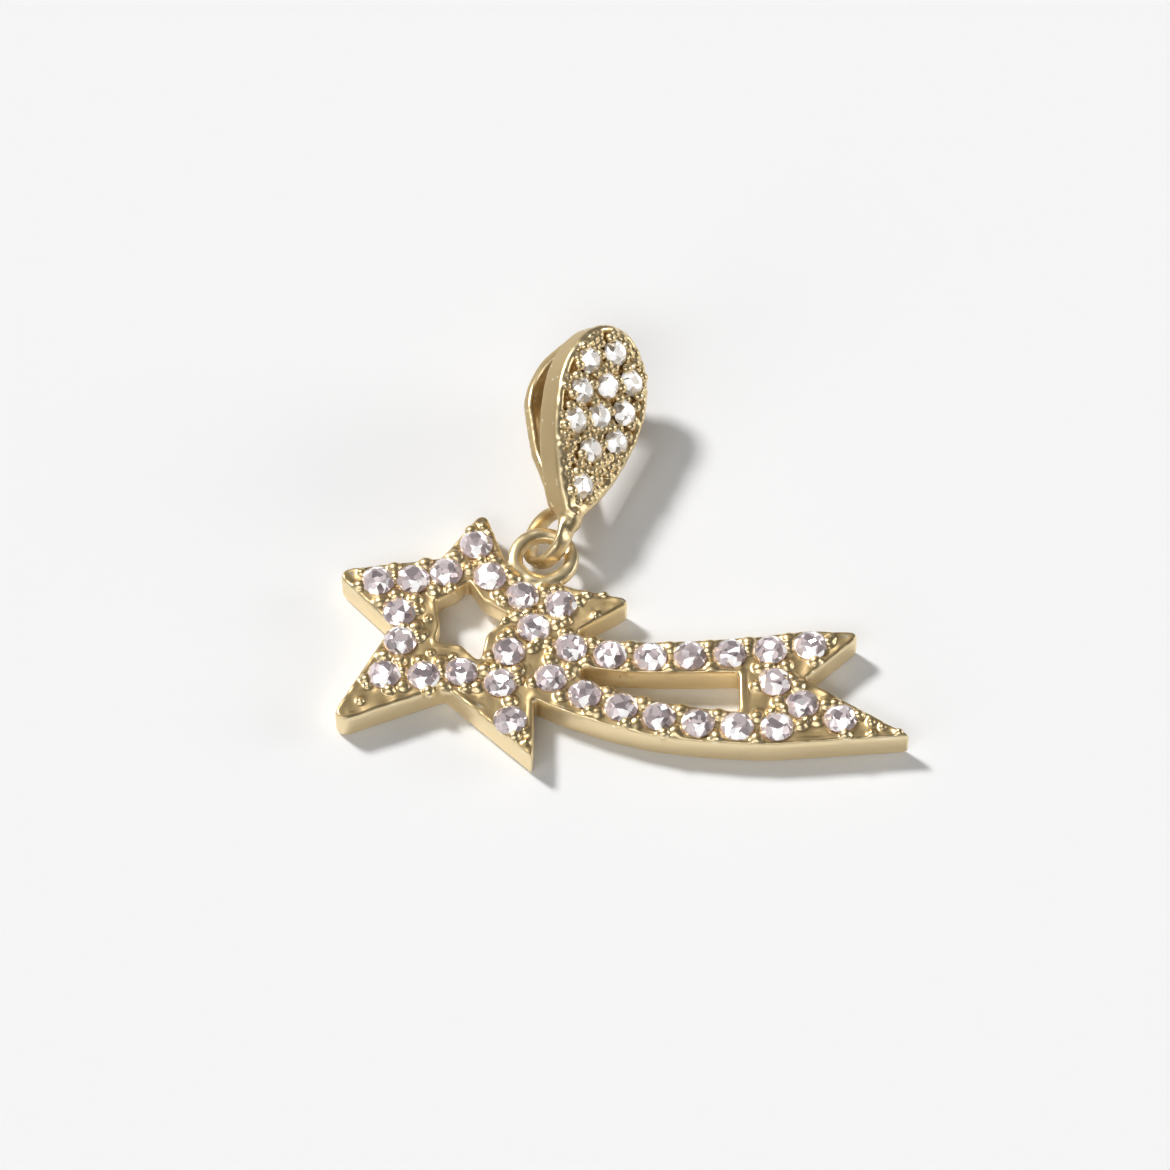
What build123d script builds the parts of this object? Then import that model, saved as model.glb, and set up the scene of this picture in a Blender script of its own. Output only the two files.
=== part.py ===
from build123d import *
import os
from math import atan2, cos, degrees, hypot, pi, radians, sin

# Shooting-star pendant, face up on its back, sizes in millimetres.
# X runs towards the tip of the tail, Y towards the bail, Z up out of the face.
# The plan of the star and tail is drawn about the middle of the star; at the end
# every piece is moved so that the origin is at the middle of the pendant's foot.

# Plate: the star and its two-band tail, cast in one
plate_thickness = 1.6
star_radius = 8.0
hole_radius = 3.0
tail_length = 21.4
tail_drop = 6.0
tail_root_direction = -22.0
band_width = 1.84
tip_radius = 0.45
corner_radius = 0.16
rim_width = 0.24
hole_rim_width = 0.14
recess_depth = 0.22
edge_bevel = 0.12
back_bevel = 0.32
back_bevel_height = 0.5

# Round stones, cut with a table, a crown and a pavilion
plate_stone_diameter = 1.5
bail_stone_diameter = 1.25
table_share = 0.52
crown_share = 0.2
girdle_share = 0.04
pavilion_share = 0.42
girdle_rise = 0.12
stone_turn = 17.0
seat_gap = 0.025
light_hole_share = 0.42

# Beads of gold that hold the stones
bead_radius = 0.4
bead_sink = 0.18
bead_grip = 0.03
bead_spacing = 0.66
bead_turn = 37.0
tip_bead_radius = 0.22
tip_bead_sink = 0.06
neighbour_share = 1.5
bail_neighbour_share = 1.5

# Ring soldered in the notch above the star
ring_hole_radius = 1.0
ring_wire_radius = 0.36
ring_height = 1.3
ring_direction = 49.1
ring_share = 0.7275

# Bail: a drop-shaped front, a strap behind it and a small ring at its foot
bail_length = 10.1
bail_width = 5.28
bail_front_depth = 1.45
bail_depth = 4.42
bail_rim_width = 0.36
bail_recess_depth = 0.2
strap_width = 2.9
strap_shift = 0.12
strap_thickness = 0.5
bulge_radius = 2.25
bulge_share = 0.66
crown_radius = 1.0
crown_setback = 0.5
heel_radius = 0.7
heel_share = 0.1
neck_width = 0.9
neck_ball_radius = 0.6
neck_ball_shift = 0.16
neck_bead_radius = 0.24
foot_ring_radius = 1.34
foot_ring_thickness = 0.4
foot_ring_width = 0.98
foot_ring_drop = 0.9
foot_ring_setback = 0.27
grain_radius = 0.2
grain_pitch = 0.66
grain_inset_share = 0.66
widest_share = 0.625
flank_share = 0.745
bail_bead_radius = 0.3

# Section of the foot ring: shares of its thickness and width
foot_section = ((0.22, 0.46), (0.5, 0.2), (0.5, -0.2), (0.22, -0.46))

# How the bail lies, turned on the ring
bail_foot = (5.35, 5.9, 2.92)
bail_turn = 13.0
bail_lift = 11.0
bail_roll = 42.0

girdle_height = plate_thickness - recess_depth + girdle_rise

# Corners of the star: direction in degrees, share of the star's radius and of the tip radius
star_corners = (
    ("top", 82.4, 0.90, 0.7),
    ("top_left_notch", 104.5, 0.555, 0.0),
    ("upper_left", 150.3, 0.914, 1.0),
    ("left_notch", 173.1, 0.434, 0.0),
    ("lower_left", 219.1, 1.071, 1.0),
    ("bottom_notch", 253.8, 0.404, 0.0),
    ("lower_right", 294.8, 0.991, 0.0),
    ("tail_root_low", 310.6, 0.642, 0.0),
    ("tail_root_high", 2.1, 0.70, 0.0),
    ("right", 13.0, 1.052, 0.5),
    ("right_shoulder", 25.0, 0.745, 0.0),
    ("top_right_notch", 61.1, 0.543, 0.0),
)

# Corners of the star's hole: direction and share of the hole's radius
hole_corners = (
    ("top", 86.5, 1.035),
    ("top_right_notch", 64.7, 0.70),
    ("right", 25.0, 0.83),
    ("right_notch", 355.0, 0.375),
    ("lower_right", 294.6, 0.64),
    ("bottom_notch", 262.4, 0.252),
    ("lower_left", 201.5, 0.50),
    ("left_notch", 160.8, 0.406),
    ("upper_left", 126.4, 0.787),
    ("top_left_notch", 98.3, 0.808),
)

# Middle line of each band of the tail: shares of the tail's length and drop
upper_line = ((0.240, 0.152), (0.326, 0.220), (0.421, 0.245), (0.603, 0.208), (0.777, 0.133))
lower_line = ((0.195, 0.442), (0.300, 0.650), (0.431, 0.808), (0.560, 0.890), (0.700, 0.910))
slot_ends = (0.262, 0.617)

# Upper edge of the slot: shares of the tail's length and drop
slot_edge = ((0.240, 0.320), (0.326, 0.360), (0.421, 0.385), (0.540, 0.385), (0.660, 0.376))

# Outer edge of the lower band: shares of the tail's length and drop
lower_edge = ((0.154, 0.625), (0.290, 0.845), (0.421, 0.985), (0.561, 1.052), (0.701, 1.070))

# Swallow-tailed end: shares of the tail's length and drop
fork_corners = (
    ("upper_tip", 0.896, 0.0),
    ("notch", 0.763, 0.448),
    ("lower_tip", 0.998, 0.985),
)

# Stones of the star: direction in degrees and share of the star's radius, round the hole
star_ring = (
    (104.0, 0.442),
    (128.8, 0.488),
    (160.0, 0.411),
    (189.5, 0.384),
    (233.3, 0.394),
    (267.5, 0.288),
    (301.2, 0.430),
    (332.2, 0.305),
    (4.2, 0.422),
    (36.4, 0.436),
    (68.7, 0.430),
)
arm_stones = ((83.4, 0.633), (144.6, 0.634), (212.9, 0.564), (293.8, 0.694), (18.8, 0.614))

# Stones that close the tail: shares of the tail's length and drop
fork_stones = ((0.696, 0.480), (0.757, 0.697), (0.842, 0.833))
upper_stone_count = 7
lower_stone_count = 7

# Beads alone beside the hole: direction and share of the hole's radius
hole_beads = ((156.0, 0.627), (183.0, 0.619), (217.0, 0.653), (250.0, 0.493), (20.0, 0.699))
# and in the tips: direction and share of the star's radius
tip_beads = (
    (81.6, 0.776),
    (77.8, 0.729),
    (145.0, 0.751),
    (213.9, 0.688),
    (218.9, 0.789),
    (297.4, 0.794),
    (295.5, 0.872),
    (20.0, 0.792),
    (18.0, 0.886),
    (9.2, 0.806),
)
# and in the ends of the tail: shares of the tail's length and drop
end_beads = ((0.827, 0.063), (0.910, 0.860), (0.935, 0.908), (0.972, 0.950), (0.911, 0.960))

# Stones of the bail: shares of its length from the foot and of half its width
bail_rows = (
    (0.154, 0.0),
    (0.346, 0.0),
    (0.447, 0.50),
    (0.524, 0.0),
    (0.606, 0.51),
    (0.692, 0.0),
    (0.764, 0.51),
    (0.868, 0.0),
)

# Half width of the strap: share of the bail's length, share of half the strap's width
strap_plan = ((0.0, 0.36), (0.30, 1.0), (0.72, 1.0), (0.88, 1.0), (1.0, 0.8))


def polar(direction, distance):
    """A point of the plan from its direction in degrees and its distance."""
    return (distance * cos(radians(direction)), distance * sin(radians(direction)))


def tail_point(along, down):
    """A point of the plan from its shares of the tail's length and drop."""
    return (along * tail_length, -down * tail_drop)


def raised(points, rise):
    """The same points moved up the plan."""
    return [(x, y + rise) for x, y in points]


def two_arcs(points):
    """A line of two arcs through five points."""
    first, over, middle, next_over, last = points
    return [ThreePointArc(first, over, middle), ThreePointArc(middle, next_over, last)]


def star_outline():
    """The star's outer edge, with its tips rounded."""
    corners = [polar(direction, share * star_radius) for name, direction, share, rounding in star_corners]
    face = make_face(Polyline(*corners, close=True))
    for (x, y), (name, direction, share, rounding) in zip(corners, star_corners):
        if rounding:
            tip = min(face.vertices(), key=lambda v: hypot(v.X - x, v.Y - y))
            face = fillet(tip, rounding * tip_radius)
    return face


def star_hole():
    """The star-shaped hole."""
    corners = [polar(direction, share * hole_radius) for name, direction, share in hole_corners]
    face = make_face(Polyline(*corners, close=True))
    return fillet(face.vertices(), corner_radius)


def tail_outline():
    """The tail's outer edge, from its root beside the star's hole to the fork."""
    root = polar(tail_root_direction, hole_radius)
    upper = raised([tail_point(*row) for row in upper_line], band_width / 2)
    lower = [tail_point(*row) for row in lower_edge]
    upper_tip, notch, lower_tip = (tail_point(along, down) for name, along, down in fork_corners)
    edges = two_arcs(upper)
    edges += [Line(upper[-1], upper_tip), Line(upper_tip, notch), Line(notch, lower_tip)]
    edges += [Line(lower_tip, lower[-1])]
    edges += two_arcs(lower)
    edges += [Line(lower[0], root), Line(root, upper[0])]
    face = make_face(edges)
    end = min(face.vertices(), key=lambda v: hypot(v.X - upper_tip[0], v.Y - upper_tip[1]))
    return fillet(end, tip_radius / 2)


def tail_slot(grow=0.0):
    """The long slot between the two bands."""
    start, end = (share * tail_length for share in slot_ends)
    upper = raised([tail_point(*row) for row in slot_edge], grow)
    lower = raised([tail_point(*row) for row in lower_line], band_width / 2 - grow)
    ends = [Line(upper[0], lower[0]), Line(upper[-1], lower[-1])]
    between = make_face(two_arcs(upper) + two_arcs(lower) + ends)
    window = Pos((start + end) / 2, 0) * Rectangle(end - start + 2 * grow, 4 * tail_drop)
    return between & window


def plate_plan():
    """The plan of the star and tail, open at the star's hole and the tail's slot."""
    return star_outline() + tail_outline() - star_hole() - tail_slot()


def field_plan():
    """The plan of the sunk field inside the raised rim."""
    whole = offset(star_outline(), -rim_width) + offset(tail_outline(), -rim_width)
    return whole - offset(star_hole(), hole_rim_width) - tail_slot(rim_width)


def bevelled(slab):
    """A flat piece with the outer edge of its upper face cut back."""
    return chamfer(slab.faces().sort_by(Axis.Z)[-1].outer_wire().edges(), edge_bevel)


def hole_bevel():
    """The tool that cuts back the rear edge of the star's hole."""
    slope = degrees(atan2(back_bevel, back_bevel_height))
    return extrude(Pos(0, 0, back_bevel_height) * star_hole(), amount=-back_bevel_height, taper=-slope)


def plan_stones():
    """Middles of the stones of the star and tail, by row."""
    rows = {
        "ring": [polar(direction, share * star_radius) for direction, share in star_ring],
        "arm": [polar(direction, share * star_radius) for direction, share in arm_stones],
        "fork": [tail_point(*row) for row in fork_stones],
    }
    for name, line, count in (
        ("upper", upper_line, upper_stone_count),
        ("lower", lower_line, lower_stone_count),
    ):
        middle = Wire(two_arcs([tail_point(*row) for row in line]))
        places = [middle @ (i / (count - 1)) for i in range(count)]
        rows[name] = [(place.X, place.Y) for place in places]
    return rows


def brilliant(diameter):
    """A round stone as one convex solid of flat facets, its girdle about z = 0."""
    radius = diameter / 2
    flat = radius * cos(pi / 16)
    table = radius * table_share
    crown = diameter * crown_share
    pavilion = diameter * pavilion_share
    edge = diameter * girdle_share / 2
    main = atan2(crown, radius - table)
    below = atan2(pavilion, radius)
    stone = extrude(RegularPolygon(radius, 16), crown + edge)
    stone += extrude(RegularPolygon(radius, 16), -pavilion - edge)
    # count, first direction, slope, distance from the axis at that height, height
    families = (
        (8, 0.0, main, radius, edge),
        (8, pi / 8, main * 0.62, table * cos(pi / 8), crown + edge),
        (16, pi / 16, main * 1.2, flat, edge),
        (8, 0.0, -below, radius, -edge),
        (16, pi / 16, -below * 1.04, flat, -edge),
    )
    for count, first, slope, distance, height in families:
        for i in range(count):
            turn = first + 2 * pi * i / count
            up = 1 if slope > 0 else -1
            normal = (abs(sin(slope)) * cos(turn), abs(sin(slope)) * sin(turn), up * cos(slope))
            point = (distance * cos(turn), distance * sin(turn), height)
            stone = split(stone, bisect_by=Plane(origin=point, z_dir=normal), keep=Keep.BOTTOM)
    return stone


def seat(diameter, depth):
    """The tool that cuts a stone's seat: light hole, pavilion, girdle and room above."""
    radius = diameter / 2 + seat_gap
    hole = radius * light_hole_share
    table = diameter / 2 * table_share + seat_gap
    edge = diameter * girdle_share / 2 + seat_gap
    slope = pavilion_share * 2
    crown = diameter * crown_share
    profile = Polyline(
        (0, -depth),
        (hole, -depth),
        (hole, -edge - (radius - hole) * slope),
        (radius, -edge),
        (radius, edge),
        (table, edge + crown),
        (table, edge + diameter),
        (0, edge + diameter),
        close=True,
    )
    return revolve(Plane.XZ * make_face(profile), Axis.Z)


def holding_beads(stones, diameter, plan):
    """Middles of the beads between each two neighbouring stones."""
    reach = diameter / 2 + bead_radius - bead_grip
    found = []
    for i, (ax, ay) in enumerate(stones):
        for bx, by in stones[i + 1 :]:
            apart = hypot(bx - ax, by - ay)
            if apart > neighbour_share * diameter:
                continue
            side = max(reach**2 - apart**2 / 4, 0) ** 0.5
            for sign in (1, -1) if side > bead_radius / 2 else (0,):
                x = (ax + bx) / 2 - sign * side * (by - ay) / apart
                y = (ay + by) / 2 + sign * side * (bx - ax) / apart
                clear_of_stones = all(hypot(x - sx, y - sy) > reach - bead_grip for sx, sy in stones)
                clear_of_beads = all(hypot(x - fx, y - fy) > bead_spacing for fx, fy in found)
                if clear_of_stones and clear_of_beads and plan.is_inside(Vector(x, y, 0)):
                    found.append((x, y))
    return found


def star_and_tail(rows):
    """The star and tail casting: plate, soldered ring, beads and cut seats."""
    plan = plate_plan()
    plate = bevelled(extrude(plan, plate_thickness))
    plate -= Pos(0, 0, plate_thickness - recess_depth) * extrude(field_plan(), 2 * recess_depth)
    plate -= hole_bevel()
    ring_middle = polar(ring_direction, ring_share * star_radius)
    ring = Pos(*ring_middle, ring_height) * Torus(ring_hole_radius + ring_wire_radius, ring_wire_radius)
    stones = [place for row in rows.values() for place in row]
    bead = Rot(0, 0, bead_turn) * Sphere(bead_radius)
    tip_bead = Rot(0, 0, bead_turn) * Sphere(tip_bead_radius)
    face = plan.faces()[0]
    beads = [Pos(x, y, plate_thickness - bead_sink) * bead for x, y in holding_beads(stones, plate_stone_diameter, face)]
    small = [polar(direction, share * hole_radius) for direction, share in hole_beads]
    small += [polar(direction, share * star_radius) for direction, share in tip_beads]
    small += [tail_point(*row) for row in end_beads]
    beads += [Pos(x, y, plate_thickness - tip_bead_sink) * tip_bead for x, y in small]
    plate = plate + [ring] + beads
    cutter = seat(plate_stone_diameter, plate_thickness * 2)
    return plate - [Pos(x, y, girdle_height) * cutter for x, y in stones]


def bail_outline(inset=0.0):
    """The drop-shaped outline of the bail's front, foot at the origin, top along Y."""
    half = bail_width / 2 - inset
    top = bail_length - inset
    widest = bail_length * widest_share
    neck = max(neck_width / 2 - inset, neck_width / 8)
    foot = inset * 2
    flank = (half * flank_share, foot + (widest - foot) * 0.46)
    edges = [
        EllipticalCenterArc((0, widest), half, top - widest, start_angle=0, arc_size=180),
        ThreePointArc((-half, widest), (-flank[0], flank[1]), (-neck, foot)),
        Line((-neck, foot), (neck, foot)),
        ThreePointArc((neck, foot), flank, (half, widest)),
    ]
    return make_face(edges)


def strap_side(inset):
    """Side view of the strap's loop, drawn round three circles."""
    back = bulge_radius - inset
    crown = crown_radius - inset
    heel = heel_radius - inset
    circles = (
        Pos(bulge_share * bail_length, bulge_radius - bail_depth) * Circle(back),
        Pos(bail_length - crown_radius - crown_setback, -crown_radius) * Circle(crown),
        Pos(heel_share * bail_length, -heel_radius) * Circle(heel),
    )
    return make_hull([circle.edge() for circle in circles])


def strap():
    """The strap behind the bail's front, bent from one flat strip."""
    side = strap_side(0) - strap_side(strap_thickness)
    strip = extrude(Plane.YZ * side, strap_width, both=True)
    corners = [(half * strap_width / 2, along * bail_length) for along, half in strap_plan]
    plan = make_face(Polyline(*corners, *[(-x, y) for x, y in reversed(corners)], close=True))
    return Pos(-strap_shift, 0, 0) * (strip & Pos(0, 0, -bail_front_depth / 2) * extrude(plan, -bail_depth))


def foot_ring():
    """The rounded ring at the bail's foot, about the X axis, and the room that its bore needs."""
    depth = foot_ring_radius + foot_ring_thickness / 2 + foot_ring_setback
    corners = [(share * foot_ring_thickness, wide * foot_ring_width) for share, wide in foot_section]
    outline = Polyline(*corners, *[(-x, -y) for x, y in corners], close=True)
    section = Plane.XZ * Pos(foot_ring_radius, 0) * make_face(outline)
    turned = Pos(0, -foot_ring_drop, -depth) * Rot(0, 90, 0)
    return turned * revolve(section, Axis.Z), turned * Cylinder(foot_ring_radius, bail_width)


def bail_places():
    """Middles of the bail's stones, on its front."""
    half = bail_width / 2
    places = []
    for along, across in bail_rows:
        places += [(sign * across * half, along * bail_length) for sign in ((1, -1) if across else (1,))]
    return places


def bail_beads(places):
    """Middles of the beads between each three neighbouring stones of the bail."""
    near = bail_stone_diameter * bail_neighbour_share
    found = []
    for i, a in enumerate(places):
        for j, b in enumerate(places[:i]):
            for c in places[:j]:
                if max(hypot(p[0] - q[0], p[1] - q[1]) for p, q in ((a, b), (b, c), (c, a))) < near:
                    found.append(((a[0] + b[0] + c[0]) / 3, (a[1] + b[1] + c[1]) / 3))
    return found


def rim_grains():
    """Middles of the small grains along the bail's right edge and low on its left edge."""
    edge = bail_outline(bail_rim_width * grain_inset_share).wire()
    count = int(edge.length / grain_pitch)
    grains = []
    for i in range(count):
        place = edge @ (i / count)
        along = place.Y / bail_length
        if (place.X > 0 and 0.1 < along < 0.95) or (place.X < 0 and 0.06 < along < 0.36):
            grains.append((place.X, place.Y))
    return grains


def bail(places):
    """The bail casting, foot at the origin, front facing Z."""
    front = Pos(0, 0, -bail_front_depth) * bevelled(extrude(bail_outline(), bail_front_depth))
    pocket = Pos(0, 0, -bail_recess_depth) * extrude(bail_outline(bail_rim_width), bail_recess_depth * 2)
    ring, bore = foot_ring()
    neck = Pos(neck_ball_shift, -neck_ball_shift, -neck_ball_radius) * Sphere(neck_ball_radius)
    neck_bead = Pos(0, neck_bead_radius / 2, 0) * Sphere(neck_bead_radius)
    bead = Sphere(bail_bead_radius)
    grain = Sphere(grain_radius)
    beads = [Pos(x, y, -bail_recess_depth - bail_bead_radius * 0.3) * bead for x, y in bail_beads(places)]
    grains = [Pos(x, y, -grain_radius * 0.3) * grain for x, y in rim_grains()]
    body = (front - pocket) + [strap(), neck] - bore + [ring, neck_bead] + beads + grains
    cutter = seat(bail_stone_diameter, bail_front_depth + seat_gap)
    girdle = -bail_recess_depth + girdle_rise
    return body - [Pos(x, y, girdle) * cutter for x, y in places]


def bail_frame():
    """Where the bail lies: its foot, its width along local X, its length along Y."""
    turn, lift, roll = (radians(angle) for angle in (bail_turn, bail_lift, bail_roll))
    across = Vector(cos(turn), -sin(turn), 0)
    length = Vector(sin(turn) * cos(lift), cos(turn) * cos(lift), sin(lift))
    up = across.cross(length)
    return Plane(
        origin=bail_foot,
        x_dir=across * cos(roll) - up * sin(roll),
        z_dir=up * cos(roll) + across * sin(roll),
    )


def set_stones(name, stone, places, height):
    """The stones of one row, each turned a little further than the one before."""
    return {
        f"{name}_stone_{i + 1:02d}": Pos(x, y, height) * Rot(0, 0, i * stone_turn) * stone
        for i, (x, y) in enumerate(places)
    }


def pendant():
    """Every piece of the pendant, in its place."""
    rows = plan_stones()
    pieces = {"star_and_tail": star_and_tail(rows)}
    stone = brilliant(plate_stone_diameter)
    for name, places in rows.items():
        pieces |= set_stones(name, stone, places, girdle_height)
    places = bail_places()
    lying = bail_frame().location
    pieces["bail"] = lying * bail(places)
    small = brilliant(bail_stone_diameter)
    held = set_stones("bail", small, places, girdle_rise - bail_recess_depth)
    pieces |= {name: lying * stone for name, stone in held.items()}
    boxes = [piece.bounding_box() for piece in pieces.values()]
    left, right = min(box.min.X for box in boxes), max(box.max.X for box in boxes)
    near, far = min(box.min.Y for box in boxes), max(box.max.Y for box in boxes)
    foot = Pos(-(left + right) / 2, -(near + far) / 2, -min(box.min.Z for box in boxes))
    return {name: foot * piece for name, piece in pieces.items()}


os.makedirs("parts", exist_ok=True)
for name, piece in pendant().items():
    export_step(piece, f"parts/{name}.step")
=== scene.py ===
"""Dresses the shooting-star pendant for its picture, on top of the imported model."""

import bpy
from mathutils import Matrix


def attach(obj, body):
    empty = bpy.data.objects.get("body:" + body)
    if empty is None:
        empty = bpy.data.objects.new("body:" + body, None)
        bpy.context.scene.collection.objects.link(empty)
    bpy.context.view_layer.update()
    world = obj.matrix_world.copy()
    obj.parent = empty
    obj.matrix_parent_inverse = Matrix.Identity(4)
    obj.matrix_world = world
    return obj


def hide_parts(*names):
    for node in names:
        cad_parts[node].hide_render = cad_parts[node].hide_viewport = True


bl_info = {
    "name": "Shooting-star pendant",
    "version": (1, 0, 0),
    "blender": (4, 5, 0),
    "location": "3D View > Sidebar > Pendant",
    "description": "Finishes the castings and stones of a shooting-star pendant and sets its stage",
    "category": "Object",
}

from math import cos, degrees, pi, radians, sin

import bmesh
import bpy
import numpy as np
from mathutils import Matrix, Vector, noise

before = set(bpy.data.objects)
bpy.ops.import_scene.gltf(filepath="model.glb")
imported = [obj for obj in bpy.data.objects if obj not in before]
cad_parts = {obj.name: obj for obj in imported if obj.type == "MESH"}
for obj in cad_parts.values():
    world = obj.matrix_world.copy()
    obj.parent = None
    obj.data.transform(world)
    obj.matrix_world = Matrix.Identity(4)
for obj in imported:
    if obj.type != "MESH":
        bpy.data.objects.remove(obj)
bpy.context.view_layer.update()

MM = 0.001
CASTINGS = ("star_and_tail", "bail")
# Middle of the ring soldered to the star
RING_MIDDLE = (-3.82 * MM, 0.01 * MM, 1.3 * MM)
# Width and scale of the photograph
PHOTO_WIDTH = 1170
PIXELS_PER_MM = 20.8
BLACK = (0.0, 0.0, 0.0, 1.0)
WHITE = (1.0, 1.0, 1.0, 1.0)


# Shader maths


class Wire:
    """A node's output, on which shader maths is written as Python expressions."""

    def __init__(self, net, socket):
        self.net = net
        self.socket = socket

    def maths(self, operation, *others, clamp=False):
        """This value and others put through a Math node."""
        values = dict(enumerate((self, *others)))
        return self.net.add("ShaderNodeMath", {"operation": operation, "use_clamp": clamp}, values)

    def __add__(self, other):
        return self.maths("ADD", other)

    __radd__ = __add__

    def __sub__(self, other):
        return self.maths("SUBTRACT", other)

    def __rsub__(self, other):
        values = {0: other, 1: self}
        return self.net.add("ShaderNodeMath", {"operation": "SUBTRACT"}, values)

    def __mul__(self, other):
        return self.maths("MULTIPLY", other)

    __rmul__ = __mul__

    def clamped(self):
        """This value held between 0 and 1."""
        return self.maths("ADD", 0.0, clamp=True)

    def ramp(self, low, high, start=0.0, end=1.0):
        """This value eased from start at low to end at high, and held beyond."""
        values = {"Value": self, "From Min": low, "From Max": high, "To Min": start, "To Max": end}
        return self.net.add("ShaderNodeMapRange", {"interpolation_type": "SMOOTHSTEP"}, values)

    def vector_maths(self, operation, other, output="Vector"):
        """This vector and another put through a Vector Math node."""
        settings = {"operation": operation}
        return self.net.add("ShaderNodeVectorMath", settings, {0: self, 1: other}, output)

    def along(self, direction):
        """How far this direction points along another, from -1 to 1."""
        return self.vector_maths("DOT_PRODUCT", direction, "Value")

    def distance(self, place):
        """How far this place lies from another."""
        return self.vector_maths("DISTANCE", place, "Value")


class Net:
    """The nodes of one material or world."""

    def __init__(self, tree):
        self.tree = tree
        tree.nodes.clear()

    def add(self, kind, settings=None, values=None, output=0):
        """A node of that type, its settings made first and then its sockets, as a Wire."""
        node = self.tree.nodes.new(kind)
        for name, value in (settings or {}).items():
            setattr(node, name, value)
        for name, value in (values or {}).items():
            if isinstance(value, Wire):
                self.tree.links.new(value.socket, node.inputs[name])
            else:
                node.inputs[name].default_value = value
        return Wire(self, node.outputs[output]) if len(node.outputs) else None

    def blend(self, share, first, second):
        """Two colours mixed, the second by its share."""
        return self.add("ShaderNodeMix", {"data_type": "RGBA"}, {0: share, 6: first, 7: second}, 2)

    def place(self):
        """Where a point of the piece lies, in metres."""
        return self.add("ShaderNodeTexCoord", output="Object")

    def noise(self, size, detail):
        """Soft noise from 0 to 1, its lumps about that size in metres."""
        values = {"Vector": self.place(), "Scale": 1 / size, "Detail": detail}
        return self.add("ShaderNodeTexNoise", None, values)

    def bump(self, height, depth, normal=None):
        """A Normal raised by a height from 0 to 1, that depth in metres."""
        values = {"Height": height, "Distance": depth}
        if normal:
            values["Normal"] = normal
        return self.add("ShaderNodeBump", None, values)

    def surface(self, **values):
        """The Principled shader with these sockets, joined to the output."""
        named = {name.replace("_", " "): value for name, value in values.items()}
        shader = self.add("ShaderNodeBsdfPrincipled", None, named)
        self.add("ShaderNodeOutputMaterial", None, {"Surface": shader})


def new_material(name):
    """An empty material and its nodes."""
    material = bpy.data.materials.new(name)
    material.use_nodes = True
    return material, Net(material.node_tree)


def rgb(colour):
    """A property's colour as a node takes it."""
    return (*colour, 1.0)


def new_piece(scene, name, mesh, material):
    """A mesh of one material, placed in the scene."""
    mesh.materials.clear()
    mesh.materials.append(material)
    piece = bpy.data.objects.new(name, mesh)
    scene.collection.objects.link(piece)
    return piece


def towards(azimuth, elevation):
    """The unit vector to a place on the sky, azimuth from the camera's side towards the right."""
    turn, rise = radians(azimuth), radians(elevation)
    return Vector((sin(turn) * cos(rise), -cos(turn) * cos(rise), sin(rise)))


# Sizes and colours


def colour_property(name, description, default):
    """A colour that a user may change."""
    return bpy.props.FloatVectorProperty(
        name=name, description=description, default=default, subtype="COLOR", size=3, min=0, max=1
    )


def share_property(name, description, default):
    """A number from 0 to 1 that a user may change."""
    return bpy.props.FloatProperty(
        name=name, description=description, default=default, min=0, max=1, subtype="FACTOR"
    )


def length_property(name, description, default):
    """A length in metres that a user may change."""
    return bpy.props.FloatProperty(
        name=name, description=description, default=default, min=0, unit="LENGTH", precision=5
    )


class CastingSettings(bpy.types.PropertyGroup):
    """Shape and finish of the two castings."""

    grain: length_property("Grain", "Width of the smallest form that the casting keeps", 0.05 * MM)
    rounds: bpy.props.IntProperty(
        name="Softening", description="How often the bare casting is smoothed", default=32, min=0
    )
    polish: bpy.props.IntProperty(
        name="Polishing",
        description="How often the casting with its grains is smoothed",
        default=8,
        min=0,
    )
    swell: length_property("Swell", "How far the polished face is brought out again", 0.03 * MM)
    lump_height: length_property("Lump height", "How far the cast face wavers", 0.06 * MM)
    lump_width: length_property("Lump width", "How wide its lumps are", 0.6 * MM)
    face_height: length_property("Face height", "Height of the star's rim over its back", 1.58 * MM)
    field_fill: share_property("Field fill", "How far the sunk field is raised to its rim", 0.8)
    grain_share: share_property("Grain size", "Radius of a stone's grains, by its own", 0.43)
    grain_lift: share_property("Grain lift", "How far a grain stands up, by its radius", 0.5)
    field_grain: length_property("Field grain", "Radius of grains on the bail's field", 0.25 * MM)
    grain_count: bpy.props.IntProperty(
        name="Grains", description="Most grains raised round one stone", default=4, min=0
    )
    most_triangles: bpy.props.IntProperty(
        name="Most triangles",
        description="Triangles that one casting may have",
        default=190000,
        min=1000,
    )
    gold: colour_property("Gold", "Plating where it is open", (0.85, 0.67, 0.38))
    # Painted shade: the colour that hollows, inner corners and the level field are darkened to
    painted_shade_gold: colour_property("Deep gold", "Plating between the beads", (0.46, 0.28, 0.08))
    # The palest tone: random mottle, and the painted highlight along the edges
    pale_gold: colour_property("Pale gold", "Plating on rubbed edges", (1.0, 0.90, 0.66))
    # Painted light: the colour that lightens the star's walls
    painted_wall_light: colour_property("Wall gold", "Plating on the star's walls", (0.97, 0.82, 0.54))
    # Painted shade: the colour that darkens the bail's walls
    painted_wall_shade: colour_property("Dull gold", "Plating on the bail's walls", (0.55, 0.41, 0.21))
    # Strength of the bail's painted shade in its hollows and on its level field
    bail_painted_shade: share_property("Bail depth", "How deep the tone of the bail's hollows is", 0.4)
    # How far the walls take on their painted light or shade
    painted_wall_share: share_property("Wall share", "How far the walls take on their own tone", 0.75)
    # Strength of the painted shade on the level field
    field_painted_shade: share_property("Field depth", "How deep the tone of the level field is", 0.5)
    roughness: share_property("Roughness", "Roughness of the open plating", 0.36)
    # Reach of the occlusion that places the painted shade in hollows
    hollow_width: length_property("Hollow width", "How far round a point darkens it", 0.55 * MM)


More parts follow.
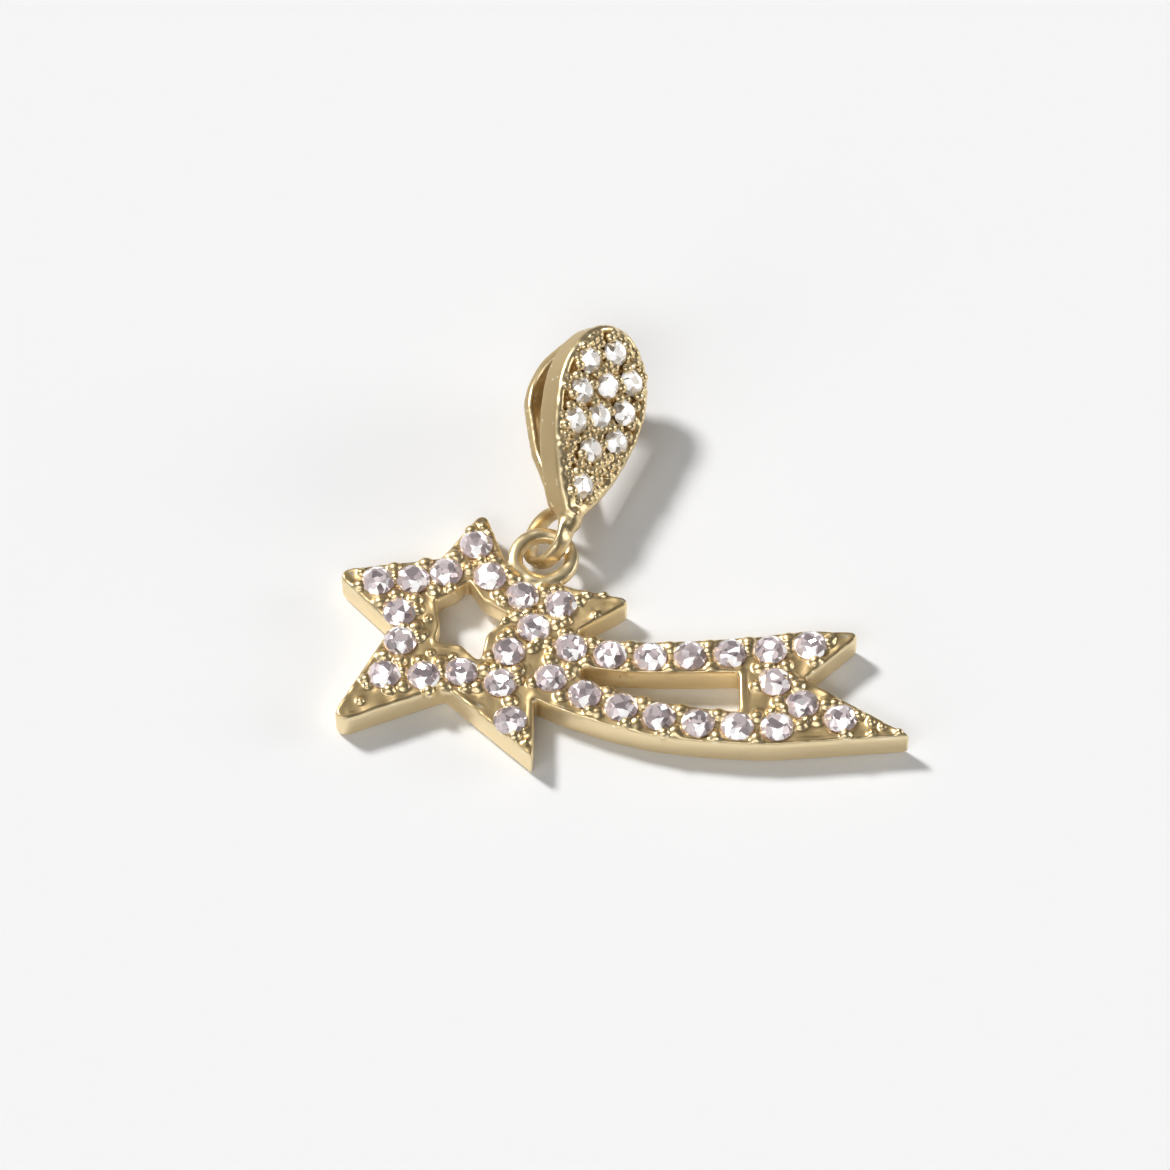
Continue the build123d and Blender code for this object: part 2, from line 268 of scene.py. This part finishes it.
class StoneSettings(bpy.types.PropertyGroup):
    """Shape and finish of the stones."""

    widen: share_property("Widen", "How much wider than its seat a stone spreads", 0.08)
    crown_stretch: share_property("Crown stretch", "How much taller a stone's crown stands", 0.4)
    lift: length_property("Lift", "How far a stone stands up out of its seat", 0.08 * MM)
    face_tint: colour_property("Face stones", "Body of the star's stones", (0.77, 0.65, 0.66))
    # The shade colours paint a stone's darker heart and dark facets, a painted reflection
    face_shade: colour_property("Face shade", "Dark facets of those stones", (0.38, 0.31, 0.32))
    bail_tint: colour_property("Bail stones", "Body of the bail's stones", (0.92, 0.85, 0.76))
    bail_shade: colour_property("Bail shade", "Dark facets of those stones", (0.52, 0.43, 0.33))
    facet: length_property("Facet", "Width of the facets seen inside a stone", 0.36 * MM)
    tilt: share_property("Tilt", "How steeply those facets stand", 0.35)
    # Painted light: emission that makes the painted glints glow
    glow: bpy.props.FloatProperty(
        name="Glow", description="Light that the glinting facets throw back", default=0.45, min=0
    )


class StageSettings(bpy.types.PropertyGroup):
    """Camera, floor and light."""

    elevation: bpy.props.FloatProperty(
        name="Camera elevation",
        description="Angle at which the camera looks down",
        default=radians(56),
        subtype="ANGLE",
    )
    distance: length_property("Camera distance", "From the camera to the pendant", 0.6)
    aim: bpy.props.FloatVectorProperty(
        name="Aim",
        description="The point in the middle of the picture",
        default=(-1.812 * MM, -1.669 * MM, 1.6 * MM),
        subtype="XYZ",
        unit="LENGTH",
        precision=5,
    )
    floor: colour_property("Floor", "The pale floor", (0.90, 0.90, 0.90))
    sun: bpy.props.FloatProperty(
        name="Key light", description="Strength of the key light", default=2.75, min=0
    )
    sun_width: bpy.props.FloatProperty(
        name="Key width",
        description="How wide the key light looks",
        default=radians(11),
        subtype="ANGLE",
    )
    dome: bpy.props.FloatProperty(
        name="Room light", description="Strength of light from all round", default=0.08, min=0
    )


# Castings

# Between which heights over the stones' middles the metal under a grain lies
CROWN_METAL = (-MM, 0.16 * MM)
FIELD_METAL = (-0.17 * MM, -0.08 * MM)
# A field grain's middle over the stones' middles, how far the field reaches, and the steps tried,
# by the grain's radius
FIELD_RISE = -0.03 * MM
FIELD_REACH = 5 * MM
FIELD_STEP = 0.9
# How far outside its stone a crown grain stands, by its radius, and how near two grains come
CROWN_SPREAD = 0.45
NEAREST_GRAINS = 0.8
# From how high over the stones' middles the metal is looked for, and how far down
PROBE_HEIGHT = MM
PROBE_LENGTH = 1.35 * MM
# Lowest part of the sunk field, and how far up it faces
FIELD_BOTTOM = 1.25 * MM
FACES_UP = 0.5
# Over which height the casting's unevenness comes in, and where that begins, by the same height
BACK_EASE = 0.6 * MM
BACK_FLAT = 0.3
# How much of its lumps a wall keeps
WALL_LUMPS = 0.25
# The bare casting is made from cubes this much larger
COARSER = 1.3


def middle_of(stone):
    """The middle of a stone, in metres."""
    corners = [Vector(corner) for corner in stone.bound_box]
    return sum(corners, Vector()) / 8


def stone_plane(middles):
    """Across, along and up of the plane that a casting's stones are set in."""
    first = middles[0]
    ways = [middle - first for middle in middles]
    along = max(ways, key=lambda way: way.length).normalized()
    up = max((along.cross(way) for way in ways), key=lambda way: way.length).normalized()
    if up.z < 0:
        up.negate()
    return along.cross(up), along, up


def stones_of(node):
    """The stones that a casting holds."""
    of_bail = node == "bail"
    return [
        stone
        for name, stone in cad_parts.items()
        if name not in CASTINGS and name.startswith("bail") == of_bail
    ]


def stone_radius(node):
    """Half the width of the stones that a casting holds, in metres."""
    return max(max(stone.dimensions) for stone in stones_of(node)) / 2


def grain_places(node, middles, plane, settings):
    """Where grains may stand, with their size, their rise and the heights of the metal under them.

    A crown of them comes round each stone first, then the bail's field in rows.
    """
    across, along, _up = plane
    radius = stone_radius(node)
    grain = radius * settings.grain_share
    for middle in middles:
        for i in range(settings.grain_count):
            turn = 2 * pi * (i + 0.5) / settings.grain_count
            aside = (across * cos(turn) + along * sin(turn)) * (radius + grain * CROWN_SPREAD)
            yield middle + aside, grain, grain * settings.grain_lift, CROWN_METAL
    if node == "bail":
        centre = sum(middles, Vector()) / len(middles)
        step = settings.field_grain * FIELD_STEP
        reach = int(FIELD_REACH / step)
        for i in range(-reach, reach + 1):
            for j in range(-reach, reach + 1):
                place = centre + (across * i + along * (j + i % 2 / 2)) * step
                yield place, settings.field_grain, FIELD_RISE, FIELD_METAL


def raise_grains(mesh, node, middles, plane, settings):
    """Add small balls to a casting's mesh wherever its field is free."""
    up = plane[2]
    radius = stone_radius(node)
    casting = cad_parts[node]
    grains = bmesh.new()
    placed = []
    for place, grain, rise, (lowest, highest) in grain_places(node, middles, plane, settings):
        near_stone = any((place - middle).length < radius for middle in middles)
        near_grain = any(
            (place - other).length < (grain + size) * NEAREST_GRAINS for other, size in placed
        )
        start = place + up * PROBE_HEIGHT
        below, hit, _normal, _face = casting.ray_cast(start, -up, distance=PROBE_LENGTH)
        on_field = below and lowest < (hit - place).dot(up) < highest
        if on_field and not (near_stone or near_grain):
            placed.append((place, grain))
            shape = Matrix.Translation(place + up * rise)
            bmesh.ops.create_icosphere(grains, subdivisions=2, radius=grain, matrix=shape)
    grains.from_mesh(mesh)
    grains.to_mesh(mesh)
    grains.free()


def built(piece):
    """The mesh that a piece's modifiers make."""
    graph = bpy.context.evaluated_depsgraph_get()
    return bpy.data.meshes.new_from_object(piece.evaluated_get(graph))


def recast(mesh, size, rounds, most_triangles=0):
    """The mesh made anew from cubes of that size, smoothed, and thinned to the most triangles."""
    mesh.transform(Matrix.Scale(1 / MM, 4))
    rough = bpy.data.objects.new(mesh.name, mesh)
    bpy.context.scene.collection.objects.link(rough)
    remesh = rough.modifiers.new("Cast", "REMESH")
    remesh.mode = "VOXEL"
    remesh.voxel_size = size / MM
    polish = rough.modifiers.new("Polish", "SMOOTH")
    polish.factor = 0.5
    polish.iterations = rounds
    dense = built(rough)
    triangles = sum(len(face.vertices) - 2 for face in dense.polygons)
    if most_triangles and triangles > most_triangles:
        rough.modifiers.clear()
        rough.data = dense
        thin = rough.modifiers.new("Thin", "DECIMATE")
        thin.ratio = most_triangles / triangles
        dense = built(rough)
    bpy.data.objects.remove(rough)
    dense.transform(Matrix.Scale(MM, 4))
    return dense


def surface_of(mesh):
    """A mesh's vertices and the directions that they face, as two arrays."""
    places = np.empty(len(mesh.vertices) * 3)
    mesh.vertices.foreach_get("co", places)
    outward = np.empty(len(mesh.vertices) * 3)
    mesh.vertex_normals.foreach_get("vector", outward)
    return places.reshape(-1, 3), outward.reshape(-1, 3)


def fill_field(mesh, settings):
    """Raise the sunk field of the star and tail, so that its rim melts into it."""
    places, outward = surface_of(mesh)
    height = places[:, 2]
    low = (height > FIELD_BOTTOM) & (height < settings.face_height) & (outward[:, 2] > FACES_UP)
    places[low, 2] += settings.field_fill * (settings.face_height - places[low, 2])
    mesh.vertices.foreach_set("co", places.ravel())
    mesh.update()


def waver(mesh, up, settings):
    """Bring a polished casting out again, its face in soft uneven lumps and its back flat."""
    places, outward = surface_of(mesh)
    lumps = np.array([noise.noise(Vector(place) / settings.lump_width) for place in places])
    above_back = np.clip(places[:, 2] / BACK_EASE - BACK_FLAT, 0, 1)
    facing = np.clip(outward @ np.array(up), WALL_LUMPS, 1)
    travel = above_back * (settings.swell + settings.lump_height * lumps * facing)
    mesh.vertices.foreach_set("co", (places + outward * travel[:, None]).ravel())
    mesh.update()


def cast_mesh(node, settings):
    """The node's mesh with the soft forms of a polished casting."""
    middles = [middle_of(stone) for stone in stones_of(node)]
    plane = stone_plane(middles)
    soft = recast(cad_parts[node].data.copy(), settings.grain * COARSER, settings.rounds)
    if node == "star_and_tail":
        fill_field(soft, settings)
    raise_grains(soft, node, middles, plane, settings)
    fine = recast(soft, settings.grain, settings.polish, settings.most_triangles)
    waver(fine, plane[2], settings)
    fine.polygons.foreach_set("use_smooth", [True] * len(fine.polygons))
    fine.name = f"{node}_casting"
    return fine, plane[2]


# Pointiness at which edges (painted highlight, and less rough) and inner corners (painted shade)
# begin and are full
EDGES = (0.555, 0.62)
CORNERS = (0.47, 0.40)
# How shut in a hollow is, how level the field and how steep a wall, where it begins and is full;
# these place the painted shade in hollows and on the level field, and the painted light or shade on
# the walls
HOLLOWS = (0.10, 0.60)
LEVELS = (0.78, 0.97)
WALLS = (0.6, 0.2)
# From where on, off the ring's middle, level metal gets painted shade, and how dark the painted
# shade in hollows is nearer
OFF_RING = (1.6 * MM, 2.0 * MM)
RING_SHARE = 0.4
# How much an occluded place and an inner corner count as a hollow, which gets painted shade
SHUT_SHARE = 0.85
CORNER_SHARE = 0.4
# How far the mottle takes on the palest tone, and how far the edges take it on as a painted
# highlight
MOTTLE_SHARE = 0.2
EDGE_SHARE = 0.7
# What hollows, walls, rubbed edges and the fine grain do to the roughness
HOLLOW_ROUGHNESS = 0.16
WALL_ROUGHNESS = 0.1
EDGE_POLISH = 0.06
FINE_ROUGHNESS = 0.08
# Widths and depths of the surface's unevenness
MOTTLE_WIDTH = 1.4 * MM
DENT_WIDTH = 0.6 * MM
DENT_DEPTH = 0.014 * MM
FINE_WIDTH = 0.3 * MM
FINE_DEPTH = 0.002 * MM


# Its depth scales the painted shade in the hollows and on the level field
def pale_gold(name, up, painted_wall_tone, depth, settings):
    """Pale gold plating, tan when open, with a cream painted highlight on the edges, brown painted
    shade in the hollows and on the level field, and painted light or shade on the walls.
    """
    material, net = new_material(name)
    point = net.add("ShaderNodeNewGeometry", output="Pointiness")
    edge = point.ramp(*EDGES)
    corner = point.ramp(*CORNERS)
    open_sky = net.add(
        "ShaderNodeAmbientOcclusion",
        {"samples": 8, "only_local": True},
        {"Distance": settings.hollow_width},
        "AO",
    )
    # Painted shade: occluded places and inner corners are darkened towards the painted shade colour
    shut = (1 - open_sky).ramp(*HOLLOWS)
    hollow = (shut * SHUT_SHARE + corner * CORNER_SHARE).clamped() * depth
    upward = net.add("ShaderNodeNewGeometry", output="Normal").along(up)
    off_ring = net.place().distance(RING_MIDDLE).ramp(*OFF_RING)
    # Painted shade on the level field, away from the ring
    level = upward.ramp(*LEVELS) * off_ring * (settings.field_painted_shade * depth)
    wall = upward.ramp(*WALLS)
    mottle = net.noise(MOTTLE_WIDTH, detail=3.0)
    fine = net.noise(FINE_WIDTH, detail=2.0)
    tone = net.blend(mottle * MOTTLE_SHARE, rgb(settings.gold), rgb(settings.pale_gold))
    tone = net.blend(level, tone, rgb(settings.painted_shade_gold))
    # Painted light on the star's walls, painted shade on the bail's walls
    tone = net.blend(wall * settings.painted_wall_share, tone, rgb(painted_wall_tone))
    # Painted highlight along the edges
    tone = net.blend(edge * EDGE_SHARE, tone, rgb(settings.pale_gold))
    # Painted shade in the hollows, weaker near the ring
    dark = hollow * (off_ring * (1 - RING_SHARE) + RING_SHARE)
    tone = net.blend(dark, tone, rgb(settings.painted_shade_gold))
    worn = hollow * HOLLOW_ROUGHNESS + wall * WALL_ROUGHNESS - edge * EDGE_POLISH
    roughness = worn + (fine - 0.5) * FINE_ROUGHNESS + settings.roughness
    dents = net.bump(net.noise(DENT_WIDTH, detail=1.0), DENT_DEPTH)
    skin = net.bump(fine, FINE_DEPTH, normal=dents)
    net.surface(Base_Color=tone, Metallic=1.0, Roughness=roughness, Normal=skin)
    return material


class PENDANT_OT_castings(bpy.types.Operator):
    """Give the two castings their soft forms and their gold plating, with painted highlights, light
    and shade
    """

    bl_idname = "pendant.castings"
    bl_label = "Castings"

    def execute(self, context):
        settings = context.scene.pendant_castings
        # Each casting's painted wall light or shade, and how deep its painted shade goes
        looks = ((settings.painted_wall_light, 1.0), (settings.painted_wall_shade, settings.bail_painted_shade))
        for node, (painted_wall_tone, depth) in zip(CASTINGS, looks):
            mesh, up = cast_mesh(node, settings)
            gold = pale_gold(f"{node}_gold", up, painted_wall_tone, depth, settings)
            casting = new_piece(context.scene, f"{node}_casting", mesh, gold)
            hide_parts(node)
            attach(casting, "root")
        return {"FINISHED"}


# Stones

# By how much more each stone is turned, so that no two lie alike
GOLDEN_TURN = 2.399963
# Where the facets face that get a painted glint: azimuth, elevation, and the cosine of how far
# round it
GLINTS = ((0, 52, 0.945), (135, 62, 0.972))
GLINT_EASE = 0.01
GLINT_WHITE = (1.0, 0.98, 0.97, 1.0)
# How far chance and sparkle widen a glint, as a cosine
CHANCE_REACH = 0.06
SPARKLE_REACH = 0.1
# A stone's heart within its box, and how dark the painted reflection makes it there, by chance and
# by the way from it
HEART = (0.5, 0.5, 0.7)
HEART_DARK = 0.4
CHANCE_DARK = 0.6
WAY_DARK = 1.2
# Between which values a facet turns dark as painted reflection, and by which chances it turns white
# as a painted glint
DARK_FACETS = (0.2, 0.42)
PAINTED_GLINT_FACETS = (0.86, 0.88)
# How unevenly the inner facets are spread
FACET_SCATTER = 0.9
# How many more facets of the bail's stones are painted white as glints
BAIL_SPARKLE = 0.06


def proud_stone(stone, number, up, settings):
    """A stone's facets turned its own way, lifted and spread so that it stands proud."""
    middle = middle_of(stone)
    mesh = stone.data.copy()
    mesh.name = f"{stone.name}_cut"
    turn = Matrix.Rotation(number * GOLDEN_TURN, 3, up)
    for vertex in mesh.vertices:
        height = (vertex.co - middle).dot(up)
        aside = turn @ (vertex.co - middle - up * height)
        taller = 1 + settings.crown_stretch * (height > 0)
        vertex.co = middle + aside * (1 + settings.widen) + up * (height * taller + settings.lift)
    return mesh


def stone_material(name, tint, shade, sparkle, settings):
    """A bright stone: small tilted mirrors inside, a painted darker heart, and facets with painted
    glints that glow.
    """
    material, net = new_material(name)
    cells = {"Vector": net.place(), "Scale": 1 / settings.facet, "Randomness": FACET_SCATTER}
    chip = net.add("ShaderNodeTexVoronoi", {"feature": "F1"}, cells, "Color")
    lean = chip.vector_maths("SUBTRACT", (0.5, 0.5, 0.5))
    lean = lean.vector_maths("MULTIPLY", (settings.tilt * 2, settings.tilt * 2, settings.tilt))
    facing = net.add("ShaderNodeNewGeometry", output="True Normal")
    turned = facing.vector_maths("ADD", lean)
    turned = net.add("ShaderNodeVectorMath", {"operation": "NORMALIZE"}, {0: turned}, "Vector")
    dark_chance = net.add("ShaderNodeSeparateColor", None, {"Color": chip}, "Red")
    painted_glint_chance = net.add("ShaderNodeSeparateColor", None, {"Color": chip}, "Green")
    within = net.add("ShaderNodeTexCoord", output="Generated")
    off_heart = within.distance(HEART)
    # Painted reflection: facets darken towards the stone's heart and by chance
    darkness = dark_chance * CHANCE_DARK - off_heart * WAY_DARK + HEART_DARK
    dark = darkness.ramp(*DARK_FACETS)
    # Painted glints: white facets by chance, and where a facet faces a fixed glint direction
    painted_glint = (painted_glint_chance + sparkle).ramp(*PAINTED_GLINT_FACETS)
    for azimuth, elevation, reach in GLINTS:
        near = facing.along(towards(azimuth, elevation))
        near = near + (painted_glint_chance - 0.5) * CHANCE_REACH + sparkle * SPARKLE_REACH
        painted_glint = painted_glint.maths("MAXIMUM", near.ramp(reach, reach + GLINT_EASE))
    body = net.blend(dark, rgb(tint), rgb(shade))
    body = net.blend(painted_glint, body, GLINT_WHITE)
    net.surface(
        Base_Color=body,
        Metallic=(1 - painted_glint) * 0.35,
        # The painted glints glow by emission, though no lamp is there
        Emission_Color=net.blend(painted_glint, BLACK, WHITE),
        Emission_Strength=settings.glow,
        Roughness=0.14,
        Normal=turned,
        Coat_Weight=0.6,
        Coat_Roughness=0.04,
        Coat_IOR=2.1,
    )
    return material


class PENDANT_OT_stones(bpy.types.Operator):
    """Give the stones their clear, faceted finish, with painted glints and painted dark hearts"""

    bl_idname = "pendant.stones"
    bl_label = "Stones"

    def execute(self, context):
        settings = context.scene.pendant_stones
        looks = (
            ("face_stone", settings.face_tint, settings.face_shade, 0.0),
            ("bail_stone", settings.bail_tint, settings.bail_shade, BAIL_SPARKLE),
        )
        materials = [stone_material(*look, settings) for look in looks]
        for casting, material in zip(CASTINGS, materials):
            stones = stones_of(casting)
            up = stone_plane([middle_of(stone) for stone in stones])[2]
            for number, stone in enumerate(stones):
                node = stone.name
                mesh = proud_stone(stone, number, up, settings)
                cut = new_piece(context.scene, f"{node}_cut", mesh, material)
                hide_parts(node)
                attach(cut, "root")
        return {"FINISHED"}


# Stage

# Width of the camera's sensor in millimetres, and half the floor's width in metres
SENSOR = 36
FLOOR_HALF = 3.0
# Azimuth and elevation of the key light
KEY_PLACE = (-130, 45)


def add_camera(scene, settings):
    """A long-lens camera at the photograph's height over the floor."""
    camera = bpy.data.objects.new("photo_camera", bpy.data.cameras.new("photo_camera"))
    scene.collection.objects.link(camera)
    back = towards(0, degrees(settings.elevation))
    camera.location = Vector(settings.aim) + back * settings.distance
    camera.rotation_euler = back.to_track_quat("Z", "Y").to_euler()
    width = PHOTO_WIDTH / PIXELS_PER_MM * MM
    camera.data.sensor_width = SENSOR
    camera.data.lens = SENSOR * settings.distance / width
    camera.data.clip_start = 0.01
    camera.data.clip_end = 20
    scene.camera = camera


def add_floor(scene, settings):
    """A plain pale floor under the pendant."""
    mesh = bpy.data.meshes.new("floor")
    signs = ((-1, -1), (1, -1), (1, 1), (-1, 1))
    corners = [(x * FLOOR_HALF, y * FLOOR_HALF, 0) for x, y in signs]
    mesh.from_pydata(corners, [], [(0, 1, 2, 3)])
    material, net = new_material("pale_floor")
    net.surface(Base_Color=rgb(settings.floor), Roughness=0.9, Specular_IOR_Level=0.0)
    floor = new_piece(scene, "floor", mesh, material)


def add_key_light(scene, settings):
    """One soft key light from the upper left, which throws the shadow to the lower right."""
    lamp = bpy.data.lights.new("key_light", "SUN")
    lamp.energy = settings.sun
    lamp.angle = settings.sun_width
    key = bpy.data.objects.new("key_light", lamp)
    key.rotation_euler = towards(*KEY_PLACE).to_track_quat("Z", "Y").to_euler()
    scene.collection.objects.link(key)


# Soft boxes: azimuth and elevation, half width and half height in degrees, strength
SOFT_BOXES = (
    (-20, 46, 22, 7, 4.0),
    (178, 58, 30, 14, 0.35),
    (97, 18, 13, 8, 5.5),
    (-50, 20, 16, 9, 2.2),
)
# Half the width of a soft box's fading edge as a sine, and the cosines that shut out its far side
BOX_FADE = 0.06
NEAR_SIDE = (0.0, 0.2)


def box_light(look, azimuth, elevation, half_width, half_height, strength):
    """How much light a soft box sends from a place on the sky, less over its fading edges."""
    sides = (
        (towards(azimuth + 90, 0), sin(radians(half_width))),
        (towards(azimuth, elevation + 90), sin(radians(half_height))),
    )
    light = look.along(towards(azimuth, elevation)).ramp(*NEAR_SIDE)
    for side, half in sides:
        aside = look.along(side).maths("ABSOLUTE")
        light = aside.ramp(half - BOX_FADE, half + BOX_FADE, 1.0, 0.0) * light
    return light * strength


def light_the_room(scene, settings):
    """A plain studio room: dim all round, with a few soft boxes."""
    world = bpy.data.worlds.new("studio_room")
    world.use_nodes = True
    scene.world = world
    net = Net(world.node_tree)
    look = net.add("ShaderNodeTexCoord", output="Generated")
    light = settings.dome
    for box in SOFT_BOXES:
        light = box_light(look, *box) + light
    shader = net.add("ShaderNodeBackground", None, {"Color": WHITE, "Strength": light})
    net.add("ShaderNodeOutputWorld", None, {"Surface": shader})


class PENDANT_OT_stage(bpy.types.Operator):
    """Set the camera, the pale floor and the studio light"""

    bl_idname = "pendant.stage"
    bl_label = "Stage"

    def execute(self, context):
        settings = context.scene.pendant_stage
        add_camera(context.scene, settings)
        add_floor(context.scene, settings)
        add_key_light(context.scene, settings)
        light_the_room(context.scene, settings)
        context.scene.view_settings.view_transform = "Standard"
        return {"FINISHED"}


# Panel

OPERATORS = (PENDANT_OT_stage, PENDANT_OT_castings, PENDANT_OT_stones)
SETTINGS = {
    "pendant_castings": CastingSettings,
    "pendant_stones": StoneSettings,
    "pendant_stage": StageSettings,
}


class PENDANT_PT_panel(bpy.types.Panel):
    """Lists the pendant's pieces and their settings"""

    bl_idname = "PENDANT_PT_panel"
    bl_label = "Pendant"
    bl_space_type = "VIEW_3D"
    bl_region_type = "UI"
    bl_category = "Pendant"

    def draw(self, context):
        for operator in OPERATORS:
            self.layout.operator(operator.bl_idname)
        for name, group in SETTINGS.items():
            box = self.layout.box()
            for field in group.__annotations__:
                box.prop(getattr(context.scene, name), field)


def register():
    """Add the settings, operators and panel."""
    for kind in (*SETTINGS.values(), *OPERATORS, PENDANT_PT_panel):
        bpy.utils.register_class(kind)
    for name, group in SETTINGS.items():
        setattr(bpy.types.Scene, name, bpy.props.PointerProperty(type=group))


def unregister():
    """Take them away again."""
    for name in SETTINGS:
        delattr(bpy.types.Scene, name)
    for kind in (PENDANT_PT_panel, *reversed(OPERATORS), *reversed(SETTINGS.values())):
        bpy.utils.unregister_class(kind)


def main():
    """Register the pendant's parts and set up the whole picture: stage, castings and stones."""
    register()
    bpy.ops.pendant.stage()
    bpy.ops.pendant.castings()
    bpy.ops.pendant.stones()


if __name__ == "__main__":
    main()
